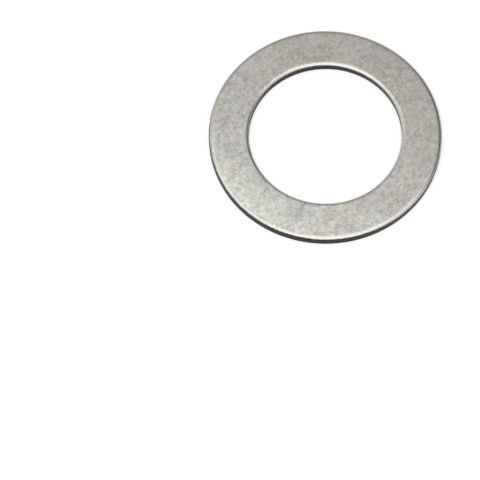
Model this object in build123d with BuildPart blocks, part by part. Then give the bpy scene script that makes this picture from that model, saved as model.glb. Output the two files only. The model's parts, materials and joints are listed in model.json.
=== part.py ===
"""Shim ring: a flat steel spacing ring, blanked from strip and tumbled, in millimetres.

The ring lies flat on its underside. The origin is the centre of that face and +Z runs
along the bore. Blanking leaves both upper rims rolled over, and tumbling breaks the two
lower corners, so the whole ring is one section turned about the bore's axis.
"""

import os

from build123d import *

# Driving dimensions, for a ring of nominal size 11 x 17 x 0.8 mm.
bore_diameter = 11.10
outside_diameter = 16.92
thickness = 0.80

# Rolled upper rims: how far each reaches in across the face, and down the wall.
outer_roll_width = 0.40
outer_roll_depth = 0.20
bore_roll_width = 0.26
bore_roll_depth = 0.20

# Tumbled radius of the two lower corners.
lower_corner_radius = 0.07

bore_radius = bore_diameter / 2
outer_radius = outside_diameter / 2


def make_shim_ring():
    """The ring's section, drawn with X as the radius and Z as the height, and revolved."""
    with BuildPart() as shim_ring:
        with BuildSketch(Plane.XZ):
            with BuildLine():
                underside = Line(
                    (bore_radius + lower_corner_radius, 0),
                    (outer_radius - lower_corner_radius, 0),
                )
                outer_corner = RadiusArc(
                    underside @ 1,
                    (outer_radius, lower_corner_radius),
                    -lower_corner_radius,
                )
                outer_wall = Line(outer_corner @ 1, (outer_radius, thickness - outer_roll_depth))
                EllipticalCenterArc(
                    (outer_radius - outer_roll_width, thickness - outer_roll_depth),
                    outer_roll_width,
                    outer_roll_depth,
                    start_angle=0,
                    arc_size=90,
                )
                upper_face = Line(
                    (outer_radius - outer_roll_width, thickness),
                    (bore_radius + bore_roll_width, thickness),
                )
                EllipticalCenterArc(
                    (bore_radius + bore_roll_width, thickness - bore_roll_depth),
                    bore_roll_width,
                    bore_roll_depth,
                    start_angle=90,
                    arc_size=90,
                )
                bore_wall = Line(
                    (bore_radius, thickness - bore_roll_depth),
                    (bore_radius, lower_corner_radius),
                )
                RadiusArc(bore_wall @ 1, underside @ 0, -lower_corner_radius)
            make_face()
        revolve(axis=Axis.Z)
    return shim_ring


shim_ring = make_shim_ring()
shim_ring.part.label = "shim_ring"

os.makedirs("parts", exist_ok=True)
export_step(shim_ring.part, "parts/shim_ring.step")
print("shim ring volume", round(shim_ring.part.volume, 3), "mm3")
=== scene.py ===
"""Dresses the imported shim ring: its blanked and tumbled surface, a pale stage and a camera.

The ring is one piece. Its section is drawn from the frame's sizes, turned about the bore by
a Geometry Nodes tree that also dents it as tumbling does, and finished with one steel.
"""

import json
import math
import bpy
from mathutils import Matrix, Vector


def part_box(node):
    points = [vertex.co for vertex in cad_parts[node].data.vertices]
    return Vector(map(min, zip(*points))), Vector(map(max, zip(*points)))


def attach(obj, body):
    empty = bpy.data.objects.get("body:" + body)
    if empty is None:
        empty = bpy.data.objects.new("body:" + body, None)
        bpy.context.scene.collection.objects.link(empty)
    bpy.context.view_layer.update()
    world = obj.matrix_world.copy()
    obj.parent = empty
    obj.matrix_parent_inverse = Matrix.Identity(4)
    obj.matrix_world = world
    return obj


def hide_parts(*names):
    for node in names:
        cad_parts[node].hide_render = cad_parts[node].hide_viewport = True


bl_info = {
    "name": "Shim Ring",
    "version": (1, 0, 0),
    "blender": (4, 5, 0),
    "location": "View3D > Sidebar > Shim Ring",
    "description": "Makes a blanked and tumbled steel shim ring and a pale stage for it",
    "category": "Object",
}

import bmesh
import bpy
from bpy.props import FloatProperty, FloatVectorProperty, IntProperty, PointerProperty
from bpy.types import Operator, Panel, PropertyGroup
from mathutils import Matrix, Vector

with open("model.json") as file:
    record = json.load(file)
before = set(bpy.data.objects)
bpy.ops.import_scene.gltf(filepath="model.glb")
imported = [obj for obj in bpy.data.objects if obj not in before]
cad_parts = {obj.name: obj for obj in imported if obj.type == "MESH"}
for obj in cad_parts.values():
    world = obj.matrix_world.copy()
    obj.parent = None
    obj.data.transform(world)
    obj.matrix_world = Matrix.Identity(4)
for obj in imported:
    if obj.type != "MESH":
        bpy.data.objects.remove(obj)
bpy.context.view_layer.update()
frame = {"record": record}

NODE = "shim_ring"
BODY = "root"
MM = 0.001

RING_LOW, RING_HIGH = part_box(NODE)
BORE_MOUNT = next(m for m in frame["record"]["mounts"] if m["name"] == "bore")


def linear(hex_colour):
    """An sRGB hex colour as linear red, green and blue."""
    channels = (int(hex_colour[i : i + 2], 16) / 255 for i in (1, 3, 5))
    return tuple(c / 12.92 if c <= 0.04045 else ((c + 0.055) / 1.055) ** 2.4 for c in channels)


def add_node(tree, kind, inputs=None, **settings):
    """Adds a node with its settings, and its inputs as values or as what to link from.

    A node given as an input is linked from its first output in use.
    """
    node = tree.nodes.new(kind)
    for name, value in settings.items():
        setattr(node, name, value)
    for key, value in (inputs or {}).items():
        if isinstance(value, bpy.types.Node):
            value = next(socket for socket in value.outputs if socket.enabled)
        if isinstance(value, bpy.types.NodeSocket):
            tree.links.new(value, node.inputs[key])
        else:
            node.inputs[key].default_value = value
    return node


class ShimRingSizes(PropertyGroup):
    """Sizes of the ring's section and of the mesh that is turned from it."""

    outside_diameter: FloatProperty(
        name="Outside Diameter",
        description="Diameter of the outer wall",
        default=RING_HIGH.x - RING_LOW.x,
        unit="LENGTH",
    )
    bore_diameter: FloatProperty(
        name="Bore Diameter",
        description="Diameter of the wall round the hole",
        default=2 * MM * BORE_MOUNT["dims"]["r_mm"],
        unit="LENGTH",
    )
    thickness: FloatProperty(
        name="Thickness",
        description="Height between the two flat faces",
        default=RING_HIGH.z - RING_LOW.z,
        unit="LENGTH",
    )
    outer_roll_width: FloatProperty(
        name="Outer Roll Width",
        description="How far the rolled outer rim reaches in across the upper face",
        default=0.37 * MM,
        unit="LENGTH",
    )
    bore_roll_width: FloatProperty(
        name="Bore Roll Width",
        description="How far the rolled bore rim reaches out across the upper face",
        default=0.29 * MM,
        unit="LENGTH",
    )
    roll_depth: FloatProperty(
        name="Roll Depth",
        description="How far down the walls both rolled rims reach",
        default=0.20 * MM,
        unit="LENGTH",
    )
    crown_width: FloatProperty(
        name="Crown Width",
        description="How far the upper face bows gently down before the outer rim rolls over",
        default=2.00 * MM,
        unit="LENGTH",
    )
    crown_drop: FloatProperty(
        name="Crown Drop",
        description="How far the face is bowed down at the outer roll, where it bows most",
        default=0.092 * MM,
        unit="LENGTH",
    )
    crown_side: FloatProperty(
        name="Crown Side",
        description="Direction of the side where the punch bowed the face most",
        default=math.radians(-136),
        subtype="ANGLE",
    )
    breakout: FloatProperty(
        name="Breakout",
        description="How far the metal breaks away under the bore's edge, where it breaks most",
        default=0.055 * MM,
        unit="LENGTH",
    )
    breakout_side: FloatProperty(
        name="Breakout Side",
        description="Direction of the side where the metal breaks away most",
        default=math.radians(50),
        subtype="ANGLE",
    )
    lower_corner_radius: FloatProperty(
        name="Lower Corner Radius",
        description="Tumbled radius of the two lower corners",
        default=0.07 * MM,
        unit="LENGTH",
    )
    rounds: IntProperty(
        name="Steps Around",
        description="Number of mesh steps around the bore",
        default=820,
    )


class ShimRingFinish(PropertyGroup):
    """Colours, roughness and relief of the tumbled steel."""

    steel_colour: FloatVectorProperty(
        name="Steel Colour",
        description="Reflectance of the tumbled faces",
        default=linear("#B4AFAA"),
        subtype="COLOR",
        size=3,
    )
    # The green end of the random tint, and also of the painted tint of the soft light's greenish
    # reflection.
    cool_steel_and_sheen_colour: FloatVectorProperty(
        name="Cool Steel Colour",
        description="Reflectance of the tumbled faces where they lean to green",
        default=linear("#B2B1AD"),
        subtype="COLOR",
        size=3,
    )
    # The side towards the soft light, where a painted greenish tint stands in for its reflection.
    sheen_tint_side: FloatProperty(
        name="Cool Side",
        description="Direction of the side where the steel leans to green",
        default=math.radians(-118),
        subtype="ANGLE",
    )
    # How strongly that painted reflection tint grows towards that side.
    sheen_tint_lean: FloatProperty(
        name="Cool Lean",
        description="How much cooler the steel gets for each metre towards that side",
        default=24.0,
    )
    stain_colour: FloatVectorProperty(
        name="Stain Colour",
        description="Reflectance of the duller hollows between the burnished spots",
        default=linear("#86827E"),
        subtype="COLOR",
        size=3,
    )
    fleck_colour: FloatVectorProperty(
        name="Fleck Colour",
        description="Reflectance of the high spots that the media has polished",
        default=linear("#C4C0B5"),
        subtype="COLOR",
        size=3,
    )
    burnish_colour: FloatVectorProperty(
        name="Burnish Colour",
        description="Reflectance of the rims that the media has polished",
        default=linear("#BFBCB6"),
        subtype="COLOR",
        size=3,
    )
    # Partly the dull torn steel and partly painted shade, standing in for the dark surroundings
    # that the walls would mirror.
    sheared_and_shade_colour: FloatVectorProperty(
        name="Sheared Wall Colour",
        description="Reflectance of the torn walls left by the die",
        default=linear("#352E28"),
        subtype="COLOR",
        size=3,
    )
    # Painted shade too, darkest in the scored streaks.
    tear_and_shade_colour: FloatVectorProperty(
        name="Torn Hollow Colour",
        description="Reflectance of the deepest scratches of the torn walls",
        default=linear("#1E1813"),
        subtype="COLOR",
        size=3,
    )
    stain_roughness: FloatProperty(
        name="Stain Roughness",
        description="Roughness of the duller hollows",
        default=0.36,
        min=0.0,
        max=1.0,
        subtype="FACTOR",
    )
    steel_roughness: FloatProperty(
        name="Steel Roughness",
        description="Roughness of the spots that the media has burnished",
        default=0.28,
        min=0.0,
        max=1.0,
        subtype="FACTOR",
    )
    burnish_roughness: FloatProperty(
        name="Burnish Roughness",
        description="Roughness of the rims",
        default=0.27,
        min=0.0,
        max=1.0,
        subtype="FACTOR",
    )
    torn_roughness: FloatProperty(
        name="Torn Roughness",
        description="Roughness of the torn walls",
        default=0.5,
        min=0.0,
        max=1.0,
        subtype="FACTOR",
    )
    relief_depth: FloatProperty(
        name="Relief Depth",
        description="Depth of the fine marks that catch the light",
        default=0.004 * MM,
        unit="LENGTH",
    )
    tear_height: FloatProperty(
        name="Tear Height",
        description="Height of the torn zone of the walls, below the burnished one",
        default=0.66 * MM,
        unit="LENGTH",
    )
    tear_raggedness: FloatProperty(
        name="Tear Raggedness",
        description="Height of the ragged points along the torn zone's top",
        default=0.08 * MM,
        unit="LENGTH",
    )
    # This raises the dark torn colour and its painted shade towards the crown's side.
    tear_lean: FloatProperty(
        name="Tear Lean",
        description="How much taller the torn zone gets for each metre towards the crown's side",
        default=0.008,
    )
    dent_size: FloatProperty(
        name="Dent Size",
        description="Width of the dents that the tumbling media leaves",
        default=0.30 * MM,
        unit="LENGTH",
    )
    dent_depth: FloatProperty(
        name="Dent Depth",
        description="Most that a dent is sunk",
        default=0.004 * MM,
        unit="LENGTH",
    )
    wave_size: FloatProperty(
        name="Wave Size",
        description="Width of the slow waves that the strip has from rolling and tumbling",
        default=1.60 * MM,
        unit="LENGTH",
    )
    wave_depth: FloatProperty(
        name="Wave Depth",
        description="Most that a wave is sunk",
        default=0.010 * MM,
        unit="LENGTH",
    )
    seed: FloatProperty(
        name="Seed",
        description="Picks which dents, waves and spots the ring has",
        default=11.0,
    )


class ShimRingStage(PropertyGroup):
    """Floor, lights and camera."""

    floor_colour: FloatVectorProperty(
        name="Floor Colour",
        description="Colour of the pale floor",
        default=linear("#D0D0D0"),
        subtype="COLOR",
        size=3,
    )
    floor_lift: FloatProperty(
        name="Floor Lift",
        description="How much white the floor adds to its lit colour, where it is seen",
        default=0.50,
    )
    room_light: FloatProperty(
        name="Room Light",
        description="Brightness of the light that the white room sheds",
        default=0.6,
    )
    softbox_direction: FloatVectorProperty(
        name="Softbox Direction",
        description="Direction from the ring to the soft light above its near left",
        default=(-0.115, -0.265, 0.94),
        subtype="DIRECTION",
        size=3,
    )
    softbox_distance: FloatProperty(
        name="Softbox Distance",
        description="Distance from the ring to the soft light",
        default=85.0 * MM,
        unit="LENGTH",
    )
    softbox_size: FloatProperty(
        name="Softbox Size",
        description="Length of each side of the soft light",
        default=128.0 * MM,
        unit="LENGTH",
    )
    softbox_brightness: FloatProperty(
        name="Softbox Brightness",
        description="Brightness of the soft light's face, whatever its size",
        default=1.22,
    )
    softbox_colour: FloatVectorProperty(
        name="Softbox Colour",
        description="Colour of the soft light",
        default=linear("#FAFFFC"),
        subtype="COLOR",
        size=3,
    )
    camera_elevation: FloatProperty(
        name="Camera Elevation",
        description="Height of the camera above the horizon, as seen from the ring",
        default=math.radians(64.0),
        subtype="ANGLE",
    )
    camera_roll: FloatProperty(
        name="Camera Roll",
        description="How far the camera leans to its left",
        default=math.radians(1.0),
        subtype="ANGLE",
    )
    camera_distance: FloatProperty(
        name="Camera Distance",
        description="Distance from the ring's middle to the camera",
        default=0.191,
        unit="LENGTH",
    )
    view_width: FloatProperty(
        name="View Width",
        description="Width that the camera takes in at the ring's distance",
        default=34.91 * MM,
        unit="LENGTH",
    )
    ring_right: FloatProperty(
        name="Ring Right",
        description="How far right of the view's middle the ring lies",
        default=6.19 * MM,
        unit="LENGTH",
    )
    ring_up: FloatProperty(
        name="Ring Up",
        description="How far above the view's middle the ring lies",
        default=7.62 * MM,
        unit="LENGTH",
    )


# ---------------------------------------------------------------------------
# The ring's section
# ---------------------------------------------------------------------------


# How many mesh steps each run of the section has.
UNDERSIDE_STEPS = 22
FACE_STEPS = 42
WALL_STEPS = 8
OUTER_ROLL_STEPS = 14
BORE_ROLL_STEPS = 10
CORNER_STEPS = 4


def straight(start, end, steps):
    """Points from start up to, but not including, end."""
    return [start.lerp(end, i / steps) for i in range(steps)]


def elliptical(centre, radii, start_deg, end_deg, steps):
    """Points along an elliptical arc, up to but not including its end."""
    turns = (math.radians(start_deg + (end_deg - start_deg) * i / steps) for i in range(steps))
    return [centre + Vector((radii[0] * math.cos(t), radii[1] * math.sin(t))) for t in turns]


def section_runs(sizes):
    """The section's runs, anticlockwise from the underside, as (points, rim share, wall share).

    A point's x is its radius and y its height. The shares say how rolled a rim is and how
    much of a wall is torn, from 0 to 1 at the run's start and its end.
    """
    inner = sizes.bore_diameter / 2
    outer = sizes.outside_diameter / 2
    top = sizes.thickness
    wall_top = top - sizes.roll_depth
    outer_roll = (sizes.outer_roll_width, sizes.roll_depth)
    bore_roll = (sizes.bore_roll_width, sizes.roll_depth)
    corner = sizes.lower_corner_radius
    corners = (corner, corner)
    face_end = outer - sizes.outer_roll_width
    face_start = inner + sizes.bore_roll_width
    low_outer = Vector((outer - corner, corner))
    low_inner = Vector((inner + corner, corner))
    high_outer = Vector((face_end, wall_top))
    high_inner = Vector((face_start, wall_top))

    underside = straight(Vector((low_inner.x, 0)), Vector((low_outer.x, 0)), UNDERSIDE_STEPS)
    outer_corner = elliptical(low_outer, corners, -90, 0, CORNER_STEPS)
    outer_wall = straight(Vector((outer, corner)), Vector((outer, wall_top)), WALL_STEPS)
    outer_rim = elliptical(high_outer, outer_roll, 0, 90, OUTER_ROLL_STEPS)
    upper_face = straight(Vector((face_end, top)), Vector((face_start, top)), FACE_STEPS)
    bore_rim = elliptical(high_inner, bore_roll, 90, 180, BORE_ROLL_STEPS)
    bore_wall = straight(Vector((inner, wall_top)), Vector((inner, corner)), WALL_STEPS)
    bore_corner = elliptical(low_inner, corners, 180, 270, CORNER_STEPS)
    return [
        (underside, (0, 0), (0, 0)),
        (outer_corner, (0, 1), (0, 1)),
        (outer_wall, (1, 1), (1, 1)),
        (outer_rim, (1, 0), (1, 0)),
        (upper_face, (0, 0), (0, 0)),
        (bore_rim, (0, 1), (0, 1)),
        (bore_wall, (1, 1), (1, 1)),
        (bore_corner, (1, 0), (1, 0)),
    ]


# The attributes that say how rolled a rim is and how torn a wall is.
SHARES = ("rim_share", "wall_share")


def draw_section(sizes):
    """The section as a closed loop of edges, with its rim and wall shares as attributes."""
    points = []
    rims = []
    walls = []
    for run, rim, wall in section_runs(sizes):
        for i, point in enumerate(run):
            along = i / len(run)
            points.append((point.x, point.y, 0))
            rims.append(rim[0] + (rim[1] - rim[0]) * along)
            walls.append(wall[0] + (wall[1] - wall[0]) * along)
    count = len(points)
    mesh = bpy.data.meshes.new("ring_section")
    mesh.from_pydata(points, [(i, (i + 1) % count) for i in range(count)], [])
    for name, values in zip(SHARES, (rims, walls)):
        mesh.attributes.new(name, "FLOAT", "POINT").data.foreach_set("value", values)
    section = bpy.data.objects.new("ring_section", mesh)
    bpy.context.scene.collection.objects.link(section)
    return section


# ---------------------------------------------------------------------------
# The tree that turns and dents the ring
# ---------------------------------------------------------------------------


# The bow and the breakout fade round the ring as a cosine to these powers, and this share of
# the bow goes all the way round.
CROWN_POWER = 7.0
CROWN_EVERYWHERE = 0.08
BREAKOUT_POWER = 3.0

# Points closer than this many metres are one point, where the grid's ends meet.
SAME_POINT = 1e-7

# How many finer layers the dents and waves have.
DENT_DETAIL = 2.0

# Each sum is a name, a Math operation and its terms, which are numbers or earlier names.
GRID_SUMS = (
    ("rows", "ADD", "Point Count", 1.0),
    ("columns", "ADD", "Rounds", 1.0),
    ("column", "DIVIDE", "Index", "rows"),
    ("column", "FLOOR", "column"),
    ("row", "MODULO", "Index", "rows"),
    ("row", "MODULO", "row", "Point Count"),
    ("turn", "DIVIDE", "column", "Rounds"),
    ("angle", "MULTIPLY", "turn", math.tau),
)

PLACE_SUMS = (
    # The punch bows the face down towards the outer rim, most of all on one side.
    ("inside", "SUBTRACT", "Roll Start", "radius"),
    ("bow", "DIVIDE", "inside", "Crown Width"),
    ("bow", "SUBTRACT", 1.0, "bow"),
    ("bow", "MAXIMUM", "bow", 0.0),
    ("bow", "MINIMUM", "bow", 1.0),
    ("bow", "MULTIPLY", "bow", "bow"),
    ("roll", "SUBTRACT", "Top", "Wall Top"),
    ("upper", "SUBTRACT", "height", "Wall Top"),
    ("upper", "DIVIDE", "upper", "roll"),
    ("upper", "MAXIMUM", "upper", 0.0),
    ("crowned", "SUBTRACT", "angle", "Crown Side"),
    ("crowned", "COSINE", "crowned"),
    ("crowned", "MAXIMUM", "crowned", 0.0),
    ("crowned", "POWER", "crowned", CROWN_POWER),
    ("crowned", "MULTIPLY_ADD", "crowned", 1.0 - CROWN_EVERYWHERE, CROWN_EVERYWHERE),
    ("drop", "MULTIPLY", "bow", "upper"),
    ("drop", "MULTIPLY", "drop", "crowned"),
    ("drop", "MULTIPLY", "drop", "Crown Drop"),
    # The metal breaks away under the bore's edge, most of all on another side.
    ("broken", "SUBTRACT", "angle", "Breakout Side"),
    ("broken", "COSINE", "broken"),
    ("broken", "MAXIMUM", "broken", 0.0),
    ("broken", "POWER", "broken", BREAKOUT_POWER),
    ("face_width", "SUBTRACT", "Roll Start", "Bore Radius"),
    ("near_bore", "DIVIDE", "inside", "face_width"),
    ("near_bore", "MAXIMUM", "near_bore", 0.0),
    ("below", "DIVIDE", "height", "Top"),
    ("below", "SUBTRACT", 1.0, "below"),
    ("out", "MULTIPLY", "broken", "near_bore"),
    ("out", "MULTIPLY", "out", "below"),
    ("out", "MULTIPLY", "out", "Breakout"),
    ("radius", "ADD", "radius", "out"),
    ("height", "SUBTRACT", "height", "drop"),
    ("cosine", "COSINE", "angle"),
    ("sine", "SINE", "angle"),
    ("across", "MULTIPLY", "radius", "cosine"),
    ("back", "MULTIPLY", "radius", "sine"),
)

# The tree's inputs, apart from the section and the steps around.
TREE_SIZES = (
    "Bore Radius",
    "Roll Start",
    "Wall Top",
    "Top",
    "Crown Width",
    "Crown Drop",
    "Crown Side",
    "Breakout",
    "Breakout Side",
    "Dent Size",
    "Dent Depth",
    "Wave Size",
    "Wave Depth",
    "Seed",
)


def turned_ring_tree(steel):
    """A node group that turns a section about Z and dents the result as tumbling does."""
    tree = bpy.data.node_groups.new("turned_ring", "GeometryNodeTree")
    tree.interface.new_socket("Section", in_out="INPUT", socket_type="NodeSocketGeometry")
    tree.interface.new_socket("Rounds", in_out="INPUT", socket_type="NodeSocketInt")
    for name in TREE_SIZES:
        tree.interface.new_socket(name, in_out="INPUT", socket_type="NodeSocketFloat")
    tree.interface.new_socket("Ring", in_out="OUTPUT", socket_type="NodeSocketGeometry")
    given = add_node(tree, "NodeGroupInput").outputs
    value = {name: given[name] for name in ("Rounds", *TREE_SIZES)}

    # The grid's rows follow the section's points, and its columns go round the bore.
    inputs = {"Geometry": given["Section"]}
    count = add_node(tree, "GeometryNodeAttributeDomainSize", inputs, component="MESH")
    value["Point Count"] = count.outputs["Point Count"]
    value["Index"] = add_node(tree, "GeometryNodeInputIndex")
    for name, operation, *terms in GRID_SUMS:
        inputs = {i: value.get(term, term) for i, term in enumerate(terms)}
        value[name] = add_node(tree, "ShaderNodeMath", inputs, operation=operation)
    inputs = {"Vertices X": value["columns"], "Vertices Y": value["rows"]}
    grid = add_node(tree, "GeometryNodeMeshGrid", inputs)

    # Each point of the grid takes its place and its shares from its row's point of the section.
    position = add_node(tree, "GeometryNodeInputPosition")
    sources = [("position", position, "FLOAT_VECTOR")]
    for name in SHARES:
        inputs = {"Name": name}
        share = add_node(tree, "GeometryNodeInputNamedAttribute", inputs, data_type="FLOAT")
        sources.append((name, share, "FLOAT"))
    stored = {}
    for name, source, kind in sources:
        inputs = {"Geometry": given["Section"], "Value": source, "Index": value["row"]}
        stored[name] = add_node(tree, "GeometryNodeSampleIndex", inputs, data_type=kind)
    section_point = add_node(tree, "ShaderNodeSeparateXYZ", {0: stored.pop("position")})
    value["radius"] = section_point.outputs["X"]
    value["height"] = section_point.outputs["Y"]
    stored["level"] = value["height"]
    for name, operation, *terms in PLACE_SUMS:
        inputs = {i: value.get(term, term) for i, term in enumerate(terms)}
        value[name] = add_node(tree, "ShaderNodeMath", inputs, operation=operation)
    inputs = {"X": value["across"], "Y": value["back"], "Z": value["height"]}
    place = add_node(tree, "ShaderNodeCombineXYZ", inputs)
    ring = grid.outputs["Mesh"]
    for name, source in stored.items():
        inputs = {"Geometry": ring, "Name": name, "Value": source}
        ring = add_node(tree, "GeometryNodeStoreNamedAttribute", inputs, data_type="FLOAT")
    ring = add_node(tree, "GeometryNodeSetPosition", {"Geometry": ring, "Position": place})
    inputs = {"Geometry": ring, "Distance": SAME_POINT}
    ring = add_node(tree, "GeometryNodeMergeByDistance", inputs)

    # Media leaves dents and slow waves, both taken inwards so that no size grows.
    depth = 0.0
    for kind in ("Dent", "Wave"):
        inputs = {0: 1.0, 1: given[f"{kind} Size"]}
        per_metre = add_node(tree, "ShaderNodeMath", inputs, operation="DIVIDE")
        inputs = {"Vector": position, "W": given["Seed"], "Scale": per_metre}
        inputs["Detail"] = DENT_DETAIL
        noise = add_node(tree, "ShaderNodeTexNoise", inputs, noise_dimensions="4D")
        inputs = {0: noise, 1: given[f"{kind} Depth"], 2: depth}
        depth = add_node(tree, "ShaderNodeMath", inputs, operation="MULTIPLY_ADD")
    inward = add_node(tree, "ShaderNodeMath", {0: depth, 1: -1.0}, operation="MULTIPLY")
    normal = add_node(tree, "GeometryNodeInputNormal")
    inputs = {0: normal, "Scale": inward}
    offset = add_node(tree, "ShaderNodeVectorMath", inputs, operation="SCALE")
    ring = add_node(tree, "GeometryNodeSetPosition", {"Geometry": ring, "Offset": offset})
    ring = add_node(tree, "GeometryNodeSetShadeSmooth", {"Geometry": ring})
    ring = add_node(tree, "GeometryNodeRealizeInstances", {"Geometry": ring})
    ring = add_node(tree, "GeometryNodeSetMaterial", {"Geometry": ring, "Material": steel})
    add_node(tree, "NodeGroupOutput", {0: ring})
    return tree


def set_inputs(modifier, **values):
    """Sets a tree's named inputs, by the identifiers that its sockets have."""
    sockets = modifier.node_group.interface.items_tree
    identifiers = {s.name: s.identifier for s in sockets if s.in_out == "INPUT"}
    for name, value in values.items():
        modifier[identifiers[name.replace("_", " ").title()]] = value


# ---------------------------------------------------------------------------
# Tumbled steel
# ---------------------------------------------------------------------------


# Stainless strip, blanked and tumbled, is a satin grey. Media mottles its face with spots of
# duller and brighter steel, polishes its rims, and leaves the walls as the die tore them, dark
# and scored upwards. The walls' dark colour is partly painted shade, standing in for the dark
# surroundings that they would mirror. The face gets greener towards the soft light's side, as a
# painted tint of that light's reflection.

# Each noise is a name, the way it runs, its width in millimetres and its detail.
NOISES = (
    ("marks", "all_ways", 0.19, 1.0),
    ("spots", "all_ways", 0.32, 2.0),
    ("clouds", "all_ways", 1.30, 2.0),
    ("tint", "all_ways", 2.10, 2.0),
    ("flecks", "all_ways", 0.23, 1.0),
    ("patches", "all_ways", 1.90, 2.0),
    # The media's grit and the die's scores are finer than this, and are drawn as coarse as shows.
    ("grit", "all_ways", 0.07, 2.0),
    ("scores", "upright", 0.05, 3.0),
    ("ragged", "upright", 0.12, 3.0),
)

# What runs upright is about eight times as tall as it is wide.
UPRIGHT_SCALE = (1.0, 1.0, 0.12)

# Over this height the torn zone, with its painted shade, fades into the burnished one.
TEAR_FADE = 0.08 * MM

# Each sum is a name, a Math operation and its terms, which are numbers or earlier names.
FINISH_SUMS = (
    ("mottle", "MULTIPLY", "marks", 0.34),
    ("mottle", "MULTIPLY_ADD", "spots", 0.42, "mottle"),
    ("mottle", "MULTIPLY_ADD", "clouds", 0.24, "mottle"),
    ("relief", "MULTIPLY", "marks", 0.6),
    ("relief", "MULTIPLY_ADD", "grit", 0.4, "relief"),
    # The tint also grows towards the soft light's side, as a painted tint of its greenish
    # reflection.
    ("tint", "MULTIPLY_ADD", "across", "sheen_tint_across", "tint"),
    ("tint", "MULTIPLY_ADD", "back", "sheen_tint_back", "tint"),
    # The torn zone, darkened with painted shade, has a ragged top that reaches higher towards the
    # crown's side.
    ("bowed", "MULTIPLY", "across", "crown_across"),
    ("bowed", "MULTIPLY_ADD", "back", "crown_back", "bowed"),
    ("bowed", "MAXIMUM", "bowed", 0.0),
    ("tear_top", "MULTIPLY_ADD", "ragged", "tear_raggedness", "tear_height"),
    ("tear_top", "MULTIPLY_ADD", "bowed", "tear_lean", "tear_top"),
    ("torn", "SUBTRACT", "tear_top", "level"),
)

# Each range is a name, the low and high ends to hold it to, and what those ends become.
FINISH_RANGES = (
    ("mottle", 0.335, 0.665, 0.0, 1.0),
    ("tint", 0.38, 0.62, 0.0, 1.0),
    ("flecks", 0.55, 0.80, 0.0, 1.0),
    ("patches", 0.40, 0.62, 0.15, 0.75),
    ("scores", 0.35, 0.65, 0.0, 1.0),
    ("burnished", 0.12, 0.55, 0.0, 1.0),
    ("wall", 0.0, 0.25, 0.0, 1.0),
    ("torn", 0.0, TEAR_FADE, 0.0, 1.0),
)

# Flecks come in patches, and only the walls are torn and darkened with painted shade.
FINISH_LIMITS = (
    ("flecks", "patches"),
    ("torn", "wall"),
)

# Each mix is a name, what it mixes, the share of the second, and the first and the second.
FINISH_MIXES = (
    ("steel", "RGBA", "tint", "steel_colour", "cool_steel_and_sheen_colour"),
    ("face", "RGBA", "mottle", "stain_colour", "steel"),
    ("face", "RGBA", "flecks", "face", "fleck_colour"),
    # The walls' colour is painted shade over the scored, torn steel.
    ("tear_and_shade", "RGBA", "scores", "tear_and_shade_colour", "sheared_and_shade_colour"),
    ("colour", "RGBA", "burnished", "face", "burnish_colour"),
    ("colour", "RGBA", "torn", "colour", "tear_and_shade"),
    ("rough", "FLOAT", "mottle", "stain_roughness", "steel_roughness"),
    ("rough", "FLOAT", "burnished", "rough", "burnish_roughness"),
    ("rough", "FLOAT", "torn", "rough", "torn_roughness"),
)

# The sockets that a Mix node takes its first and its second from.
MIX_SOCKETS = {"FLOAT": (2, 3), "RGBA": (6, 7)}


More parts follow.
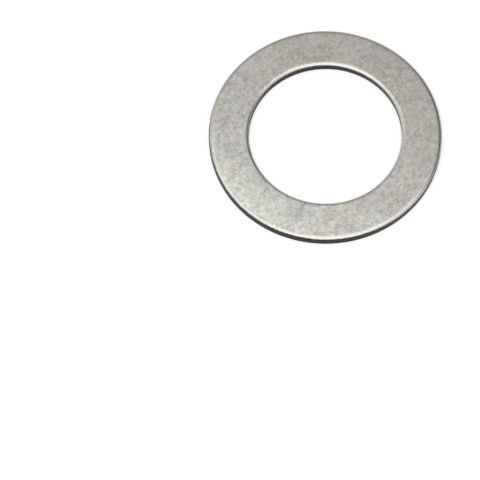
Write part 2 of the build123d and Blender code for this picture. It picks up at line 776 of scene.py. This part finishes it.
def tumbled_steel(finish, crown_side):
    """Blanked and tumbled stainless strip: a satin mottled face, greener towards the soft light
    as a painted tint of its reflection, polished rims, and torn walls darkened partly with
    painted shade.
    """
    material = bpy.data.materials.new("tumbled_stainless_strip")
    material.use_nodes = True
    material.diffuse_color = (*finish.steel_colour, 1)
    tree = material.node_tree
    tree.nodes.clear()
    value = {}
    for name in finish.__annotations__:
        setting = getattr(finish, name)
        value[name] = (*setting, 1) if name.endswith("colour") else setting
    value["crown_across"] = math.cos(crown_side)
    value["crown_back"] = math.sin(crown_side)
    # The painted greenish tint of the soft light's reflection, as a lean across the ring.
    value["sheen_tint_across"] = math.cos(finish.sheen_tint_side) * finish.sheen_tint_lean
    value["sheen_tint_back"] = math.sin(finish.sheen_tint_side) * finish.sheen_tint_lean
    value["all_ways"] = add_node(tree, "ShaderNodeTexCoord").outputs["Object"]
    inputs = {"Vector": value["all_ways"], "Scale": UPRIGHT_SCALE}
    value["upright"] = add_node(tree, "ShaderNodeMapping", inputs)
    place = add_node(tree, "ShaderNodeSeparateXYZ", {0: value["all_ways"]}).outputs
    value["across"] = place["X"]
    value["back"] = place["Y"]
    for name, stored in zip(("burnished", "wall", "level"), (*SHARES, "level")):
        value[name] = add_node(tree, "ShaderNodeAttribute", attribute_name=stored).outputs["Fac"]

    for name, way, width, detail in NOISES:
        inputs = {"Vector": value[way], "W": finish.seed, "Detail": detail}
        inputs["Scale"] = 1 / (width * MM)
        value[name] = add_node(tree, "ShaderNodeTexNoise", inputs, noise_dimensions="4D")
    for name, operation, *terms in FINISH_SUMS:
        inputs = {i: value.get(term, term) for i, term in enumerate(terms)}
        value[name] = add_node(tree, "ShaderNodeMath", inputs, operation=operation)
    for name, low, high, to_low, to_high in FINISH_RANGES:
        inputs = {"Value": value[name], "From Min": low, "From Max": high}
        inputs.update({"To Min": to_low, "To Max": to_high})
        value[name] = add_node(tree, "ShaderNodeMapRange", inputs)
    for name, limit in FINISH_LIMITS:
        inputs = {0: value[name], 1: value[limit]}
        value[name] = add_node(tree, "ShaderNodeMath", inputs, operation="MULTIPLY")
    for name, kind, share, *ends in FINISH_MIXES:
        inputs = {socket: value[end] for socket, end in zip(MIX_SOCKETS[kind], ends)}
        inputs[0] = value[share]
        value[name] = add_node(tree, "ShaderNodeMix", inputs, data_type=kind)

    inputs = {"Height": value["relief"], "Strength": 1.0, "Distance": finish.relief_depth}
    bump = add_node(tree, "ShaderNodeBump", inputs)
    inputs = {"Base Color": value["colour"], "Roughness": value["rough"], "Normal": bump}
    inputs["Metallic"] = 1.0
    shader = add_node(tree, "ShaderNodeBsdfPrincipled", inputs)
    add_node(tree, "ShaderNodeOutputMaterial", {"Surface": shader})
    return material


class SHIM_OT_make_ring(Operator):
    """Turn the ring from its section, dent it and give it its steel"""

    bl_idname = "shim.make_ring"
    bl_label = "Make Shim Ring"

    def execute(self, context):
        sizes = context.scene.shim_ring_sizes
        finish = context.scene.shim_ring_finish
        section = draw_section(sizes)
        modifier = section.modifiers.new("turned_ring", "NODES")
        modifier.node_group = turned_ring_tree(tumbled_steel(finish, sizes.crown_side))
        set_inputs(
            modifier,
            rounds=sizes.rounds,
            bore_radius=sizes.bore_diameter / 2,
            roll_start=sizes.outside_diameter / 2 - sizes.outer_roll_width,
            wall_top=sizes.thickness - sizes.roll_depth,
            top=sizes.thickness,
            crown_width=sizes.crown_width,
            crown_drop=sizes.crown_drop,
            crown_side=sizes.crown_side,
            breakout=sizes.breakout,
            breakout_side=sizes.breakout_side,
            dent_size=finish.dent_size,
            dent_depth=finish.dent_depth,
            wave_size=finish.wave_size,
            wave_depth=finish.wave_depth,
            seed=finish.seed,
        )
        graph = context.evaluated_depsgraph_get()
        mesh = bpy.data.meshes.new_from_object(section.evaluated_get(graph), depsgraph=graph)
        bpy.data.objects.remove(section)
        mesh.name = "tumbled_ring"
        ring = bpy.data.objects.new("tumbled_ring", mesh)
        context.scene.collection.objects.link(ring)
        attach(ring, BODY)
        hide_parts(NODE)
        return {"FINISHED"}


# ---------------------------------------------------------------------------
# Stage
# ---------------------------------------------------------------------------


FLOOR_SIDES = 96

# In metres.
FLOOR_RADIUS = 4.0
CARD_DISTANCE = 0.15
CLIP_NEAR = 0.01
CLIP_FAR = 20.0

# Each card is a name, its side of the ring in degrees, its width, its foot's and its head's
# height above the floor in metres, and its grey.
CARDS = (
    ("right_card", 32, 0.19, 0.045, 0.18, "#565656"),
    ("far_card", 90, 0.30, 0.040, 0.11, "#949494"),
)


def seen_directly(tree):
    """1 for a ray from the camera, a reflection or a clear part, and 0 for any other."""
    path = add_node(tree, "ShaderNodeLightPath").outputs
    seen = path["Is Camera Ray"]
    for kind in ("Is Glossy Ray", "Is Transmission Ray"):
        seen = add_node(tree, "ShaderNodeMath", {0: seen, 1: path[kind]}, operation="MAXIMUM")
    return seen


def lay_floor(stage):
    """A wide floor under the ring, lifted to white where it is seen but still taking shadow."""
    # Matt white board has no gloss, so all that it shows is the ring's soft shadow.
    material = bpy.data.materials.new("matt_white_board")
    material.use_nodes = True
    tree = material.node_tree
    tree.nodes.clear()
    matt = add_node(tree, "ShaderNodeBsdfDiffuse", {"Color": (*stage.floor_colour, 1)})
    inputs = {0: seen_directly(tree), 1: stage.floor_lift}
    strength = add_node(tree, "ShaderNodeMath", inputs, operation="MULTIPLY")
    glow = add_node(tree, "ShaderNodeEmission", {"Strength": strength})
    both = add_node(tree, "ShaderNodeAddShader", {0: matt, 1: glow})
    add_node(tree, "ShaderNodeOutputMaterial", {"Surface": both})
    mesh = bpy.data.meshes.new("floor")
    shape = bmesh.new()
    bmesh.ops.create_circle(shape, cap_ends=True, segments=FLOOR_SIDES, radius=FLOOR_RADIUS)
    shape.to_mesh(mesh)
    shape.free()
    mesh.materials.append(material)
    floor = bpy.data.objects.new("floor", mesh)
    floor.location.z = RING_LOW.z
    bpy.context.scene.collection.objects.link(floor)


def hang_softbox(stage):
    """A square soft light that faces the ring from its near left, hidden from the camera."""
    light = bpy.data.lights.new("near_left_softbox", "AREA")
    light.shape = "SQUARE"
    light.size = stage.softbox_size
    light.energy = stage.softbox_brightness * math.pi * stage.softbox_size**2
    light.color = stage.softbox_colour
    softbox = bpy.data.objects.new("near_left_softbox", light)
    away = Vector(stage.softbox_direction).normalized()
    softbox.location = away * stage.softbox_distance
    softbox.rotation_euler = away.to_track_quat("Z", "Y").to_euler()
    softbox.visible_camera = False
    bpy.context.scene.collection.objects.link(softbox)


def stand_card(name, side_deg, width, foot, head, grey):
    """An upright grey card beside the ring, seen only in the ring's reflections."""
    # Grey card stock glows evenly here, so that the rims mirror its grey whatever the lamps do.
    material = bpy.data.materials.new("grey_card_stock")
    material.use_nodes = True
    tree = material.node_tree
    tree.nodes.clear()
    paper = add_node(tree, "ShaderNodeEmission", {"Color": (*linear(grey), 1), "Strength": 1.0})
    add_node(tree, "ShaderNodeOutputMaterial", {"Surface": paper})
    mesh = bpy.data.meshes.new(name)
    half = width / 2
    corners = [(0, -half, foot), (0, half, foot), (0, half, head), (0, -half, head)]
    mesh.from_pydata(corners, [], [(0, 1, 2, 3)])
    mesh.materials.append(material)
    card = bpy.data.objects.new(name, mesh)
    turn = math.radians(side_deg)
    card.location = (CARD_DISTANCE * math.cos(turn), CARD_DISTANCE * math.sin(turn), RING_LOW.z)
    card.rotation_euler.z = turn
    card.visible_camera = False
    card.visible_diffuse = False
    card.visible_shadow = False
    bpy.context.scene.collection.objects.link(card)


def light_room(stage):
    """An even white room, dimmer for the light it sheds than for how it looks."""
    world = bpy.data.worlds.new("white_room")
    world.use_nodes = True
    tree = world.node_tree
    tree.nodes.clear()
    inputs = {"Value": seen_directly(tree), "To Min": stage.room_light, "To Max": 1.0}
    shown = add_node(tree, "ShaderNodeMapRange", inputs)
    inputs = {"Color": (*linear("#FFFFFF"), 1), "Strength": shown}
    back = add_node(tree, "ShaderNodeBackground", inputs)
    add_node(tree, "ShaderNodeOutputWorld", {"Surface": back})
    bpy.context.scene.world = world


def place_camera(stage):
    """A long lens above the ring's near side, with the ring up and to the right in its view."""
    middle = (RING_LOW + RING_HIGH) / 2
    rise = stage.camera_elevation
    roll = stage.camera_roll
    level = Vector((1, 0, 0))
    upright = Vector((0, math.sin(rise), math.cos(rise)))
    right = level * math.cos(roll) + upright * math.sin(roll)
    up = upright * math.cos(roll) - level * math.sin(roll)
    data = bpy.data.cameras.new("camera")
    data.lens = data.sensor_width * stage.camera_distance / stage.view_width
    data.clip_start = CLIP_NEAR
    data.clip_end = CLIP_FAR
    camera = bpy.data.objects.new("camera", data)
    camera.location = middle + right.cross(up) * stage.camera_distance
    target = middle - right * stage.ring_right - up * stage.ring_up
    aim = (target - camera.location).normalized()
    right = aim.cross(up).normalized()
    camera.rotation_euler = Matrix((right, right.cross(aim), -aim)).transposed().to_euler()
    bpy.context.scene.collection.objects.link(camera)
    bpy.context.scene.camera = camera


class SHIM_OT_set_stage(Operator):
    """Lay the floor, hang the lights and place the camera"""

    bl_idname = "shim.set_stage"
    bl_label = "Set Stage"

    def execute(self, context):
        stage = context.scene.shim_ring_stage
        context.scene.view_settings.view_transform = "Standard"
        lay_floor(stage)
        hang_softbox(stage)
        for card in CARDS:
            stand_card(*card)
        light_room(stage)
        place_camera(stage)
        return {"FINISHED"}


class VIEW3D_PT_shim_ring(Panel):
    """Sizes, finish and stage of the shim ring"""

    bl_label = "Shim Ring"
    bl_space_type = "VIEW_3D"
    bl_region_type = "UI"
    bl_category = "Shim Ring"

    def draw(self, context):
        scene = context.scene
        for group in (scene.shim_ring_sizes, scene.shim_ring_finish, scene.shim_ring_stage):
            box = self.layout.box()
            for name in group.__annotations__:
                box.prop(group, name)
        for operator in (SHIM_OT_make_ring, SHIM_OT_set_stage):
            self.layout.operator(operator.bl_idname)


CLASSES = (
    ShimRingSizes,
    ShimRingFinish,
    ShimRingStage,
    SHIM_OT_make_ring,
    SHIM_OT_set_stage,
    VIEW3D_PT_shim_ring,
)


def register():
    for cls in CLASSES:
        bpy.utils.register_class(cls)
    bpy.types.Scene.shim_ring_sizes = PointerProperty(type=ShimRingSizes)
    bpy.types.Scene.shim_ring_finish = PointerProperty(type=ShimRingFinish)
    bpy.types.Scene.shim_ring_stage = PointerProperty(type=ShimRingStage)


def unregister():
    del bpy.types.Scene.shim_ring_stage
    del bpy.types.Scene.shim_ring_finish
    del bpy.types.Scene.shim_ring_sizes
    for cls in reversed(CLASSES):
        bpy.utils.unregister_class(cls)


def main():
    register()
    bpy.ops.shim.make_ring()
    bpy.ops.shim.set_stage()


if __name__ == "__main__":
    main()
